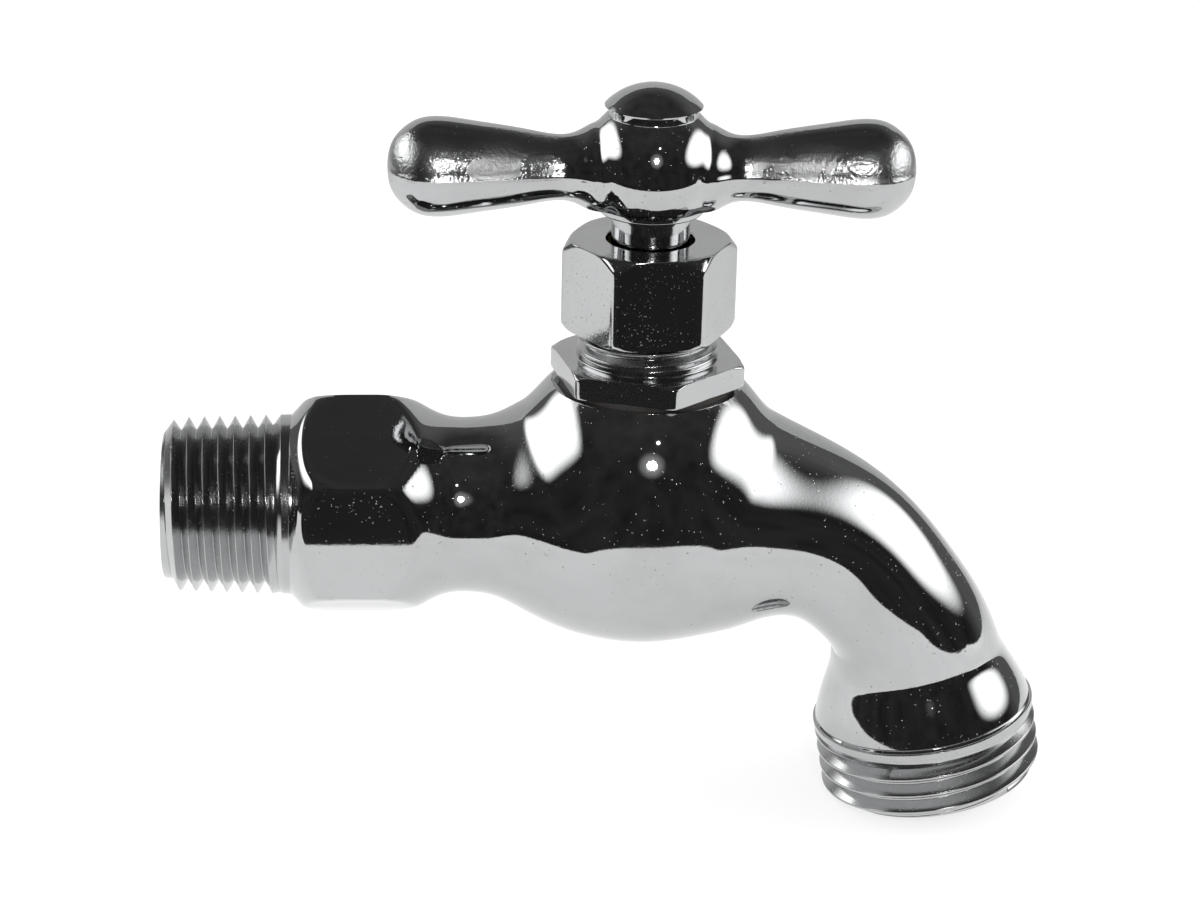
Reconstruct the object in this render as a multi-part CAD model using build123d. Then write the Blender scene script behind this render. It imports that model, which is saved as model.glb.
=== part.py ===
from build123d import *
import math
import os

# Loose key hose bibb. Millimetres, +Z up along the stem, +X from the pipe towards the spout.
# The origin is on the pipe axis, at the large end of the tapered pipe thread.

# Pipe end: tapered male pipe thread, half inch, 14 threads per inch
PIPE_RADIUS = 10.668
PIPE_PITCH = 25.4 / 14
PIPE_THREAD_DEPTH = 1.45
PIPE_THREAD_LENGTH = 14.2
PIPE_TAPER = 1 / 32
PIPE_END_RADIUS = 7.2
PIPE_END_CHAMFER = 1.5
PIPE_RUNOUT = 1.25
PIPE_COLLAR_LENGTH = 0.8
INLET_BORE_RADIUS = 6.0

# Wrench barrel: six-sided, one corner up
BARREL_ACROSS_FLATS = 24.4
BARREL_CORNER_RADIUS = 14.1
BARREL_NOSE_RADIUS = 13.45
BARREL_NOSE_LENGTH = 2.85
BARREL_SWELL_LENGTH = 3.7
BARREL_TAIL_LENGTH = 9.8
BARREL_TAIL_SHAPE = ((0.36, 0.53), (0.70, 0.06))
BARREL_NOSE_SLOPE = 0.3

# Globe and spout
STEM_X = 42.6
WAIST_RADIUS = 10.45
WAIST_TO_STEM = 20.8
GLOBE_RADIUS = 16.5
GLOBE_RISE = 3.8
GLOBE_SWELL = ((0.15, 0.08), (0.32, 0.37), (0.50, 0.67), (0.66, 0.85), (0.83, 0.96))
SPOUT_ROOT_RADIUS = 15.1
SPOUT_MOUTH_RADIUS = 13.25
SPOUT_SHOULDER_RADIUS = 11.5
SPOUT_BACK_RADIUS = 10.25
SPOUT_BEND_RADIUS = 9.55
SPOUT_NECK_RADIUS = 9.5
SPOUT_ROOT = (8.5, -0.5, 4)
SPOUT_MOUTH = (13.2, -1.85, 11)
SPOUT_SHOULDER = (18.0, -2.9, 20)
SPOUT_BACK = (23.0, -4.9, 33)
SPOUT_BEND = (27.8, -8.9, 49)
SPOUT_NECK = (31.9, -14.25, 62)

# Hose outlet: male hose thread, three quarter inch, 11.5 threads per inch
OUTLET_REACH = 34.9
OUTLET_DROP = 25.9
OUTLET_TILT = 10.0
HOSE_RADIUS = 13.495
HOSE_PITCH = 25.4 / 11.5
HOSE_THREAD_DEPTH = 1.43
HOSE_THREAD_LENGTH = 9.8
HOSE_END_CHAMFER = 1.0
HOSE_NOTCH_WIDTH = 0.25
HOSE_NOTCH_DEPTH = 0.25
HOSE_COLLAR_LENGTH = 0.9
HOSE_RELIEF_LENGTH = 0.6
HOSE_RELIEF_DEPTH = 0.3
HOSE_RUNOUT = 2.2
BELL_RADIUS = 13.1
BELL_NECK_RADIUS = 10.2
BELL_LENGTH = 8.0
BELL_SHAPE = ((0.19, 0.12), (0.38, 0.33), (0.75, 0.78))
BELL_NECK_SLOPE = 0.15
BELL_BAND_SLOPE = 0.25
OUTLET_BORE_RADIUS = 8.2
OUTLET_BORE_LENGTH = 11.0
SPOUT_BORE_RADIUS = 6.4

# Seat and waterway inside the globe
SEAT_HEIGHT = 1.0
SEAT_RING_RADIUS = 6.3
SEAT_RING_RISE = 1.2
SEAT_BORE_RADIUS = 4.7
CHAMBER_RADIUS = 8.6
PASSAGE_RADIUS = 4.4
PASSAGE_START = 16.0
PASSAGE_TURN = 12.0
PASSAGE_DROP = 7.0

# Boss on top of the globe and the bonnet that screws into it
BOSS_LAND = 2.07
BONNET_SPIGOT_RADIUS = 9.2
BONNET_SPIGOT_LENGTH = 4.5
BONNET_THREAD_PITCH = 25.4 / 18
BONNET_THREAD_DEPTH = 0.85
BONNET_THREAD_GAP = 0.9
BONNET_ACROSS_FLATS = 20.4
BONNET_FLANGE_THICKNESS = 2.7
BONNET_FLANGE_ANGLE = -17.5
BONNET_NECK_RADIUS = 8.3
BONNET_NECK_LENGTH = 10.45
BONNET_GUIDE_LENGTH = 1.4
BONNET_FLANGE_CHAMFER = 0.4
GASKET_THICKNESS = 0.6
GASKET_INSET = 1.0

# Stem, its thread and its square
STEM_RADIUS = 4.55
STEM_THREAD_RADIUS = 5.6
STEM_THREAD_DEPTH = 0.95
STEM_LEAD = 25.4 / 8
STEM_THREAD_LENGTH = 8.9
STEM_WAIST_LENGTH = 1.0
STEM_WAIST_RADIUS = 4.4
STEM_SHOULDER_RISE = 3.35
STEM_SQUARE = 5.8
STEM_SQUARE_LENGTH = 7.2
STEM_SQUARE_CHAMFER = 0.5
CUP_RADIUS = 6.7
CUP_FLOOR_THICKNESS = 1.8
CUP_LIP = 1.2

# Seat washer and its screw
WASHER_RADIUS = 5.8
WASHER_THICKNESS = 3.2
SCREW_RADIUS = 1.9
SCREW_HEAD_RADIUS = 3.3
SCREW_HEAD_HEIGHT = 1.8
SCREW_LENGTH = 8.0
SCREW_SLOT_WIDTH = 0.9
SCREW_SLOT_DEPTH = 0.8
SCREW_TIP_GAP = 0.6

# Stuffing box: washer, packing, gland and nut
BOX_RADIUS = 5.95
BOX_DEPTH = 5.9
PACKING_WASHER_THICKNESS = 0.5
PACKING_THICKNESS = 3.4
NUT_ACROSS_FLATS = 17.9
NUT_STAND_OFF = 3.55
NUT_ROOF_GAP = 0.9
NUT_ANGLE = -56.5
NUT_ROOF_THICKNESS = 3.0
NUT_HOLE_RADIUS = 5.15
NUT_CHAMFER_RADIUS = 9.3
NUT_CHAMFER_HEIGHT = 1.4
NUT_FOOT_RADIUS = 9.8
NUT_FOOT_CHAMFER = 0.6

# Loose key
KEY_HUB_RADIUS = 7.9
KEY_HUB_RISE = 5.6
KEY_HUB_LENGTH = 11.7
KEY_FOOT_RADIUS = 6.1
KEY_FOOT_HEIGHT = 0.7
KEY_ARM_RISE = 5.05
KEY_ARM_REACH = 30.4
KEY_ARM_WAIST_RADIUS = 3.85
KEY_ARM_WAIST_X = 11.4
KEY_LOBE_RADIUS = 5.75
KEY_LOBE_X = 24.9
KEY_ROOT_RADIUS = 5.1
KEY_ROOT_X = 6.9
KEY_TIP_RADIUS = 4.6
KEY_TIP_X = 28.3
KEY_DOME_RADIUS = 5.7
KEY_DOME_RISE = 12.5
KEY_DOME_HEIGHT = 2.5
KEY_GROOVE_RADIUS = 5.2
KEY_SOCKET_DEPTH = 8.4

# Clearances
RUNNING_CLEARANCE = 0.05
THREAD_CLEARANCE = 0.05
SOCKET_CLEARANCE = 0.06
FACE_GAP = 0.05
TOOL_REACH = 2.0
THREAD_FLAT = 0.12
THREAD_OVERCUT = 0.08

os.makedirs("parts", exist_ok=True)

# Heights up the stem axis, each from the one below
BOSS_SEAT_RADIUS = BONNET_SPIGOT_RADIUS + BOSS_LAND
BOSS_HEIGHT = GLOBE_RISE + math.sqrt(GLOBE_RADIUS ** 2 - BOSS_SEAT_RADIUS ** 2)
FLANGE_BOTTOM = BOSS_HEIGHT + GASKET_THICKNESS
FLANGE_TOP = FLANGE_BOTTOM + BONNET_FLANGE_THICKNESS
SPIGOT_BOTTOM = FLANGE_BOTTOM - BONNET_SPIGOT_LENGTH
BONNET_TOP = FLANGE_TOP + BONNET_NECK_LENGTH
BOX_FLOOR = BONNET_TOP - BOX_DEPTH
GUIDE_BOTTOM = BOX_FLOOR - BONNET_GUIDE_LENGTH
PACKING_BOTTOM = BOX_FLOOR + PACKING_WASHER_THICKNESS
PACKING_TOP = PACKING_BOTTOM + PACKING_THICKNESS
NUT_BOTTOM = FLANGE_TOP + NUT_STAND_OFF
ROOF_HEIGHT = BONNET_TOP + NUT_ROOF_GAP
NUT_TOP = ROOF_HEIGHT + NUT_ROOF_THICKNESS
STEM_SHOULDER = NUT_TOP + STEM_SHOULDER_RISE
KEY_BOTTOM = STEM_SHOULDER + FACE_GAP

STEM = Pos(STEM_X, 0, 0)
OUTLET_DIRECTION = Vector(
    math.sin(math.radians(OUTLET_TILT)), 0, -math.cos(math.radians(OUTLET_TILT)))
OUTLET = Plane(
    origin=(STEM_X + OUTLET_REACH, 0, -OUTLET_DROP),
    x_dir=(math.cos(math.radians(OUTLET_TILT)), 0, math.sin(math.radians(OUTLET_TILT))),
    z_dir=OUTLET_DIRECTION)


def upright(radius, bottom, top):
    """A cylinder on the stem axis between two heights."""
    return STEM * Pos(0, 0, bottom) * Cylinder(
        radius, top - bottom, align=(Align.CENTER, Align.CENTER, Align.MIN))


def ring(outer, inner, bottom, top):
    """A plain ring on the stem axis."""
    return upright(outer, bottom, top) - upright(inner, bottom - TOOL_REACH, top + TOOL_REACH)


def hexagon(across_flats, bottom, top, angle):
    """A six-sided prism on the stem axis."""
    outline = RegularPolygon(across_flats / 2, 6, major_radius=False)
    prism = extrude(outline, top - bottom)
    return STEM * Pos(0, 0, bottom) * Rot(0, 0, angle) * prism


def turned(outline):
    """Turn an outline of (radius, height) corners about the stem axis."""
    return STEM * revolve(Plane.XZ * make_face(Polyline(*outline, close=True)), Axis.Z)


def thread_grooves(crest, pitch, depth, length, taper=0.0):
    """The groove of a right-hand thread, one solid for each turn, from 0 along +Z past the length.

    The crest radius is the one at the start and changes by the taper along the length.
    """
    groove_half = pitch * (0.5 - THREAD_FLAT / 2)
    floor_half = pitch * THREAD_FLAT / 2
    lip_half = groove_half + THREAD_OVERCUT * (groove_half - floor_half) / depth
    grooves = []
    for turn in range(math.ceil(length / pitch) + 1):
        start = turn * pitch
        path = Helix(
            pitch=pitch, height=pitch, radius=crest + start * taper,
            cone_angle=math.degrees(math.atan(taper)))
        section = Plane(origin=path @ 0, x_dir=(1, 0, 0), z_dir=path % 0)
        profile = section * make_face(Polyline(
            (THREAD_OVERCUT, lip_half), (-depth, floor_half),
            (-depth, -floor_half), (THREAD_OVERCUT, -lip_half), close=True))
        grooves.append(Pos(0, 0, start) * sweep(profile, path=path, is_frenet=True))
    return grooves


def save(shape, name):
    """Write one named piece."""
    export_step(shape, f"parts/{name}.step")


# Body: the pipe end
def pipe_end():
    """The tapered male thread and the plain collar behind it."""
    small_radius = PIPE_RADIUS - PIPE_THREAD_LENGTH * PIPE_TAPER
    chamfered_radius = small_radius - PIPE_END_CHAMFER * PIPE_TAPER
    outline = Polyline(
        (-PIPE_THREAD_LENGTH, 0), (-PIPE_THREAD_LENGTH, PIPE_END_RADIUS),
        (-PIPE_THREAD_LENGTH + PIPE_END_CHAMFER, chamfered_radius), (0, PIPE_RADIUS),
        (PIPE_COLLAR_LENGTH, PIPE_RADIUS), (PIPE_COLLAR_LENGTH, 0), close=True)
    blank = revolve(Plane.XZ * make_face(outline), Axis.X)
    grooves = thread_grooves(
        PIPE_RADIUS - PIPE_RUNOUT * PIPE_TAPER, PIPE_PITCH, PIPE_THREAD_DEPTH,
        PIPE_THREAD_LENGTH - PIPE_RUNOUT, -PIPE_TAPER)
    outward = Plane(origin=(-PIPE_RUNOUT, 0, 0), x_dir=(0, 0, 1), z_dir=(-1, 0, 0)).location
    return blank - [outward * groove for groove in grooves]


def barrel():
    """The six-sided wrench barrel, coned at the pipe end and drawn in to the waist."""
    waist_x = STEM_X - WAIST_TO_STEM
    nose_x = PIPE_COLLAR_LENGTH + BARREL_NOSE_LENGTH
    tail_x = waist_x - BARREL_TAIL_LENGTH
    drop = BARREL_CORNER_RADIUS - WAIST_RADIUS
    tail = [
        (tail_x + along * BARREL_TAIL_LENGTH, WAIST_RADIUS + height * drop)
        for along, height in BARREL_TAIL_SHAPE]
    crown = Spline(
        (nose_x, BARREL_NOSE_RADIUS), (nose_x + BARREL_SWELL_LENGTH, BARREL_CORNER_RADIUS),
        (tail_x, BARREL_CORNER_RADIUS), *tail, (waist_x, WAIST_RADIUS),
        tangents=[(1, BARREL_NOSE_SLOPE), (1, 0)])
    rest = Polyline(
        (waist_x, WAIST_RADIUS), (waist_x, 0), (PIPE_COLLAR_LENGTH, 0),
        (PIPE_COLLAR_LENGTH, PIPE_RADIUS), (nose_x, BARREL_NOSE_RADIUS))
    turned_blank = revolve(Plane.XZ * make_face([crown, rest]), Axis.X)
    flats = Pos(PIPE_COLLAR_LENGTH, 0, 0) * Rot(0, 90, 0) * extrude(
        RegularPolygon(BARREL_ACROSS_FLATS / 2, 6, major_radius=False), waist_x - PIPE_COLLAR_LENGTH)
    return turned_blank & flats


def station(place, radius):
    """A round section of the globe and spout, at (reach from the stem, height, droop in degrees)."""
    reach, height, droop = place
    slope = math.radians(droop)
    return Plane(
        origin=(STEM_X + reach, 0, height), x_dir=(0, 1, 0),
        z_dir=(math.cos(slope), 0, -math.sin(slope))) * Circle(radius)


def globe_and_spout():
    """The swelling globe and the spout, lofted through round sections."""
    swell = [(0.0, 0.0), *GLOBE_SWELL, (1.0, 1.0)]
    sections = [
        station(((along - 1) * WAIST_TO_STEM, 0, 0), WAIST_RADIUS + share * (GLOBE_RADIUS - WAIST_RADIUS))
        for along, share in swell]
    spout = (
        (SPOUT_ROOT, SPOUT_ROOT_RADIUS), (SPOUT_MOUTH, SPOUT_MOUTH_RADIUS),
        (SPOUT_SHOULDER, SPOUT_SHOULDER_RADIUS), (SPOUT_BACK, SPOUT_BACK_RADIUS),
        (SPOUT_BEND, SPOUT_BEND_RADIUS), (SPOUT_NECK, SPOUT_NECK_RADIUS))
    sections += [station(place, radius) for place, radius in spout]
    sections.append(OUTLET.offset(-BELL_LENGTH) * Circle(BELL_NECK_RADIUS))
    return loft(sections)


def crown_boss():
    """The round shoulder of the globe that carries the bonnet."""
    cap = STEM * Pos(0, 0, GLOBE_RISE) * Sphere(GLOBE_RADIUS)
    return cap & upright(GLOBE_RADIUS, GLOBE_RISE, BOSS_HEIGHT)


def bell():
    """The flared collar and the threaded hose end, about the outlet axis."""
    neck = -BELL_LENGTH
    growth = BELL_RADIUS - BELL_NECK_RADIUS
    flare = [
        (BELL_NECK_RADIUS + share * growth, neck + along * BELL_LENGTH)
        for along, share in BELL_SHAPE]
    side = Spline(
        (BELL_NECK_RADIUS, neck), *flare, (BELL_RADIUS, 0),
        tangents=[(BELL_NECK_SLOPE, 1), (BELL_BAND_SLOPE, 1)])
    collar_start = 2 * HOSE_NOTCH_WIDTH
    collar_end = collar_start + HOSE_COLLAR_LENGTH
    relief_end = collar_end + HOSE_RELIEF_LENGTH
    relief_radius = HOSE_RADIUS - HOSE_RELIEF_DEPTH
    rest = Polyline(
        (BELL_RADIUS, 0), (BELL_RADIUS - HOSE_NOTCH_DEPTH, HOSE_NOTCH_WIDTH),
        (HOSE_RADIUS, collar_start), (HOSE_RADIUS, collar_end),
        (relief_radius, collar_end), (relief_radius, relief_end), (HOSE_RADIUS, relief_end),
        (HOSE_RADIUS, HOSE_THREAD_LENGTH - HOSE_END_CHAMFER),
        (HOSE_RADIUS - HOSE_END_CHAMFER, HOSE_THREAD_LENGTH), (0, HOSE_THREAD_LENGTH),
        (0, neck), (BELL_NECK_RADIUS, neck))
    blank = revolve(Plane.XZ * make_face([side, rest]), Axis.Z)
    grooves = thread_grooves(HOSE_RADIUS, HOSE_PITCH, HOSE_THREAD_DEPTH, HOSE_THREAD_LENGTH - HOSE_RUNOUT)
    return OUTLET.location * (blank - [Pos(0, 0, HOSE_RUNOUT) * groove for groove in grooves])


def channel(points, radius):
    """A round waterway through points, with rounded joints."""
    pieces = [Pos(*point) * Sphere(radius) for point in points[1:-1]]
    for start, end in zip(points, points[1:]):
        run = Vector(*end) - Vector(*start)
        pieces.append(extrude(Plane(origin=start, z_dir=run) * Circle(radius), run.length))
    return pieces


def waterway():
    """What is cut out of the body: pipe bore, passage to the seat, chamber and spout bore."""
    on_stem = [(STEM_X - PASSAGE_START, 0, 0), (STEM_X - PASSAGE_TURN, 0, -PASSAGE_DROP),
               (STEM_X, 0, -PASSAGE_DROP)]
    pipe_bore_length = PIPE_THREAD_LENGTH + TOOL_REACH + STEM_X - PASSAGE_START
    pipe_bore = Pos(-PIPE_THREAD_LENGTH - TOOL_REACH, 0, 0) * Rot(0, 90, 0) * Cylinder(
        INLET_BORE_RADIUS, pipe_bore_length, align=(Align.CENTER, Align.CENTER, Align.MIN))
    bore_end = Pos(*on_stem[0]) * Sphere(INLET_BORE_RADIUS)
    floor = SEAT_HEIGHT - SEAT_RING_RISE
    chamber = upright(CHAMBER_RADIUS, floor, BOSS_HEIGHT) - upright(SEAT_RING_RADIUS, floor, SEAT_HEIGHT)
    seat_bore = upright(SEAT_BORE_RADIUS, -PASSAGE_DROP, SEAT_HEIGHT)
    sump = STEM * Pos(0, 0, -PASSAGE_DROP) * Sphere(SEAT_BORE_RADIUS)
    tapped_bore = upright(
        BONNET_SPIGOT_RADIUS + THREAD_CLEARANCE,
        SPIGOT_BOTTOM, BOSS_HEIGHT + TOOL_REACH)
    mouth = OUTLET.offset(HOSE_THREAD_LENGTH - OUTLET_BORE_LENGTH).origin
    stations = (SPOUT_MOUTH, SPOUT_SHOULDER, SPOUT_BACK, SPOUT_BEND, SPOUT_NECK)
    spout_points = [(STEM_X, 0, SPOUT_BORE_RADIUS)]
    spout_points += [(STEM_X + reach, 0, height) for reach, height, _ in stations]
    spout_points.append((mouth.X, mouth.Y, mouth.Z))
    outlet_bore = OUTLET.offset(HOSE_THREAD_LENGTH - OUTLET_BORE_LENGTH) * Circle(OUTLET_BORE_RADIUS)
    spout_bore = extrude(outlet_bore, OUTLET_BORE_LENGTH + TOOL_REACH)
    return [pipe_bore, bore_end, chamber, seat_bore, sump, tapped_bore, spout_bore] + channel(
        on_stem, PASSAGE_RADIUS) + channel(spout_points, SPOUT_BORE_RADIUS)


def valve_body():
    """The whole casting."""
    outside = pipe_end() + barrel() + globe_and_spout() + crown_boss() + bell()
    return outside - waterway()


# Bonnet group
def bonnet():
    """The screwed-in cover that guides the stem and holds the packing."""
    corner = BONNET_ACROSS_FLATS / math.sqrt(3)
    flange = hexagon(BONNET_ACROSS_FLATS, FLANGE_BOTTOM, FLANGE_TOP, BONNET_FLANGE_ANGLE) & turned((
        (0, FLANGE_BOTTOM), (corner, FLANGE_BOTTOM), (corner, FLANGE_TOP - BONNET_FLANGE_CHAMFER),
        (corner - 2 * BONNET_FLANGE_CHAMFER, FLANGE_TOP), (0, FLANGE_TOP)))
    spigot = upright(BONNET_SPIGOT_RADIUS, SPIGOT_BOTTOM, FLANGE_BOTTOM)
    neck = upright(BONNET_NECK_RADIUS, FLANGE_TOP, BONNET_TOP)
    thread_start = FLANGE_TOP + BONNET_THREAD_GAP
    grooves = thread_grooves(
        BONNET_NECK_RADIUS, BONNET_THREAD_PITCH, BONNET_THREAD_DEPTH, BONNET_TOP - thread_start)
    neck -= [STEM * Pos(0, 0, thread_start) * groove for groove in grooves]
    solid = flange + spigot + neck
    solid -= upright(STEM_THREAD_RADIUS + THREAD_CLEARANCE, SPIGOT_BOTTOM - TOOL_REACH, GUIDE_BOTTOM)
    solid -= upright(STEM_RADIUS + RUNNING_CLEARANCE, GUIDE_BOTTOM, BOX_FLOOR)
    return solid - upright(BOX_RADIUS, BOX_FLOOR, BONNET_TOP + TOOL_REACH)


def bonnet_gasket():
    """The flat ring under the bonnet flange."""
    return ring(
        BOSS_SEAT_RADIUS - GASKET_INSET, BONNET_SPIGOT_RADIUS + THREAD_CLEARANCE, BOSS_HEIGHT, FLANGE_BOTTOM)


# Stuffing box
def packing_nut():
    """The tall six-sided nut with its threaded bore and the hole for the stem."""
    corner = NUT_ACROSS_FLATS / math.sqrt(3)
    solid = hexagon(NUT_ACROSS_FLATS, NUT_BOTTOM, NUT_TOP, NUT_ANGLE) & turned((
        (0, NUT_BOTTOM), (NUT_FOOT_RADIUS, NUT_BOTTOM),
        (corner, NUT_BOTTOM + NUT_FOOT_CHAMFER), (corner, NUT_TOP - NUT_CHAMFER_HEIGHT),
        (NUT_CHAMFER_RADIUS, NUT_TOP), (0, NUT_TOP)))
    solid -= upright(BONNET_NECK_RADIUS + THREAD_CLEARANCE, NUT_BOTTOM - TOOL_REACH, ROOF_HEIGHT)
    return solid - upright(NUT_HOLE_RADIUS, ROOF_HEIGHT, NUT_TOP + TOOL_REACH)


def packing_ring(bottom, top):
    """A ring that fills the stuffing box between two heights."""
    return ring(BOX_RADIUS - RUNNING_CLEARANCE, STEM_RADIUS + RUNNING_CLEARANCE, bottom, top)


# Stem group, drawn with the valve shut
WASHER_BOTTOM = SEAT_HEIGHT + FACE_GAP
WASHER_TOP = WASHER_BOTTOM + WASHER_THICKNESS
CUP_BOTTOM = WASHER_TOP + FACE_GAP
CUP_TOP = CUP_BOTTOM + CUP_FLOOR_THICKNESS
STEM_THREAD_START = CUP_TOP + STEM_WAIST_LENGTH
STEM_THREAD_END = STEM_THREAD_START + STEM_THREAD_LENGTH
SCREW_HOLE_TOP = WASHER_BOTTOM + SCREW_LENGTH + SCREW_TIP_GAP


def stem():
    """The spindle: washer cup, operating thread, round shank and square end."""
    solid = turned((
        (0, CUP_BOTTOM), (WASHER_RADIUS + FACE_GAP, CUP_BOTTOM),
        (WASHER_RADIUS + FACE_GAP, CUP_BOTTOM - CUP_LIP), (CUP_RADIUS, CUP_BOTTOM - CUP_LIP),
        (CUP_RADIUS, CUP_TOP), (STEM_WAIST_RADIUS, CUP_TOP), (STEM_WAIST_RADIUS, STEM_THREAD_START),
        (STEM_THREAD_RADIUS, STEM_THREAD_START), (STEM_THREAD_RADIUS, STEM_THREAD_END),
        (STEM_RADIUS, STEM_THREAD_END), (STEM_RADIUS, STEM_SHOULDER), (0, STEM_SHOULDER)))
    groove_start = STEM_THREAD_START + STEM_LEAD / 2
    grooves = thread_grooves(
        STEM_THREAD_RADIUS, STEM_LEAD, STEM_THREAD_DEPTH, STEM_THREAD_END - groove_start)
    solid -= [STEM * Pos(0, 0, groove_start) * groove for groove in grooves]
    square = extrude(Rectangle(STEM_SQUARE, STEM_SQUARE), STEM_SQUARE_LENGTH)
    square = chamfer(square.faces().sort_by(Axis.Z)[-1].edges(), STEM_SQUARE_CHAMFER)
    solid += STEM * Pos(0, 0, STEM_SHOULDER) * square
    return solid - upright(SCREW_RADIUS + THREAD_CLEARANCE, CUP_BOTTOM - TOOL_REACH, SCREW_HOLE_TOP)


def seat_washer():
    """The rubber disc in the cup."""
    return ring(WASHER_RADIUS, SCREW_RADIUS + RUNNING_CLEARANCE, WASHER_BOTTOM, WASHER_TOP)


def seat_washer_screw():
    """The slotted screw that holds the disc."""
    head_top = WASHER_BOTTOM - FACE_GAP
    head_bottom = head_top - SCREW_HEAD_HEIGHT
    head = upright(SCREW_HEAD_RADIUS, head_bottom, head_top)
    head = chamfer(head.faces().sort_by(Axis.Z)[0].edges(), SCREW_SLOT_DEPTH / 2)
    slot = STEM * Pos(0, 0, head_bottom) * Box(
        2 * SCREW_HEAD_RADIUS + TOOL_REACH, SCREW_SLOT_WIDTH, SCREW_SLOT_DEPTH,
        align=(Align.CENTER, Align.CENTER, Align.MIN))
    return head + upright(SCREW_RADIUS, head_top, head_top + SCREW_LENGTH) - slot


# Loose key
def key_arm():
    """One waisted arm with its rounded end, turned about the arm axis along +X."""
    outline = Spline(
        (KEY_ROOT_X, KEY_ROOT_RADIUS), (KEY_ARM_WAIST_X, KEY_ARM_WAIST_RADIUS),
        (KEY_LOBE_X, KEY_LOBE_RADIUS), (KEY_TIP_X, KEY_TIP_RADIUS), (KEY_ARM_REACH, 0),
        tangents=[(1, -1), (0, -1)])
    rest = Polyline((KEY_ARM_REACH, 0), (0, 0), (0, KEY_ROOT_RADIUS), (KEY_ROOT_X, KEY_ROOT_RADIUS))
    return revolve(Plane.XZ * make_face([outline, rest]), Axis.X)


def tee_key():
    """The loose key: round hub with a domed cap, two arms and a square socket underneath."""
    hub_height = KEY_BOTTOM + KEY_HUB_RISE
    dome_rim = KEY_BOTTOM + KEY_DOME_RISE
    dome_top = dome_rim + KEY_DOME_HEIGHT
    hub = STEM * Pos(0, 0, hub_height) * Sphere(KEY_HUB_RADIUS)
    hub &= upright(KEY_HUB_RADIUS, KEY_BOTTOM, KEY_BOTTOM + KEY_HUB_LENGTH)
    cap_radius = (KEY_DOME_RADIUS ** 2 + KEY_DOME_HEIGHT ** 2) / (2 * KEY_DOME_HEIGHT)
    cap = STEM * Pos(0, 0, dome_top - cap_radius) * Sphere(cap_radius)
    cap &= upright(KEY_DOME_RADIUS, dome_rim, dome_top)
    groove_wall = upright(KEY_GROOVE_RADIUS, hub_height, dome_rim)
    foot = upright(KEY_FOOT_RADIUS, KEY_BOTTOM, KEY_BOTTOM + KEY_FOOT_HEIGHT)
    arms = [
        STEM * Pos(0, 0, KEY_BOTTOM + KEY_ARM_RISE) * Rot(0, 0, turn) * key_arm()
        for turn in (0, 180)]
    solid = hub + foot + groove_wall + cap + arms
    socket = Rectangle(STEM_SQUARE + 2 * SOCKET_CLEARANCE, STEM_SQUARE + 2 * SOCKET_CLEARANCE)
    cutter = extrude(socket, KEY_SOCKET_DEPTH + TOOL_REACH)
    return solid - STEM * Pos(0, 0, KEY_BOTTOM - TOOL_REACH) * cutter


save(valve_body(), "valve_body")
save(bonnet(), "bonnet")
save(bonnet_gasket(), "bonnet_gasket")
save(packing_nut(), "packing_nut")
save(packing_ring(BOX_FLOOR, PACKING_BOTTOM), "packing_washer")
save(packing_ring(PACKING_BOTTOM, PACKING_TOP), "stem_packing")
save(packing_ring(PACKING_TOP, ROOF_HEIGHT), "packing_gland")
save(stem(), "stem")
save(seat_washer(), "seat_washer")
save(seat_washer_screw(), "seat_washer_screw")
save(tee_key(), "tee_key")
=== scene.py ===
import logging
import math
from collections.abc import Callable, Mapping, Sequence
from dataclasses import dataclass
from enum import Enum

import bmesh
import bpy
import numpy as np
from mathutils import Matrix, Vector

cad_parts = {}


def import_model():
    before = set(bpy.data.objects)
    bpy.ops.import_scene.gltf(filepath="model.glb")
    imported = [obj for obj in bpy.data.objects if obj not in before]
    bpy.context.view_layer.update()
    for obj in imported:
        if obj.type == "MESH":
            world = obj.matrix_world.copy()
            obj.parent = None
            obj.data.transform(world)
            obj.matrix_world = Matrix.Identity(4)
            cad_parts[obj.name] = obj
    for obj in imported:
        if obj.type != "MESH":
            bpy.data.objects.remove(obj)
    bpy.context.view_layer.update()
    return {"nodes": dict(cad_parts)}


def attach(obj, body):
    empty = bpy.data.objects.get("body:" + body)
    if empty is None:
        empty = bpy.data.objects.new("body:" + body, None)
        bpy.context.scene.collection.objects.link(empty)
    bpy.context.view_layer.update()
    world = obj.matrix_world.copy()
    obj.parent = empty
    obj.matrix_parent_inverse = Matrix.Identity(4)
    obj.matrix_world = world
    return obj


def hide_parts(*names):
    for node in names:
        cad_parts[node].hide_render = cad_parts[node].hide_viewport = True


LOG = logging.getLogger("hose_bibb")
MM = 0.001
STEM_X = 42.6
JOIN_DISTANCE = 0.0005
RIM_LIFT = 2.0
SHARP_ANGLE = math.radians(38)
THREAD_HALF_ANGLE = math.radians(30)
SECTORS = 8

Outline = list[tuple[float, float]]
RadiusRule = Callable[[float, float, float], float]


class Body(Enum):
    """The rigid bodies the pieces ride on."""

    CASTING = "body"
    DISC = "disc"
    SPINDLE = "spindle"
    KEY = "key"


# Outlines and curves


def soft_min(a: float, b: float, blend: float) -> float:
    """The smaller of two sizes, with a rounded change-over.

    Args:
        a: one size.
        b: the other size.
        blend: the difference over which one gives way to the other.

    Returns:
        The rounded minimum.
    """
    share = min(max(0.5 + 0.5 * (b - a) / blend, 0.0), 1.0)
    return b + (a - b) * share - blend * share * (1 - share)


def soft_max(a: float, b: float, blend: float) -> float:
    """The larger of two sizes, with a rounded change-over."""
    return -soft_min(-a, -b, blend)


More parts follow.
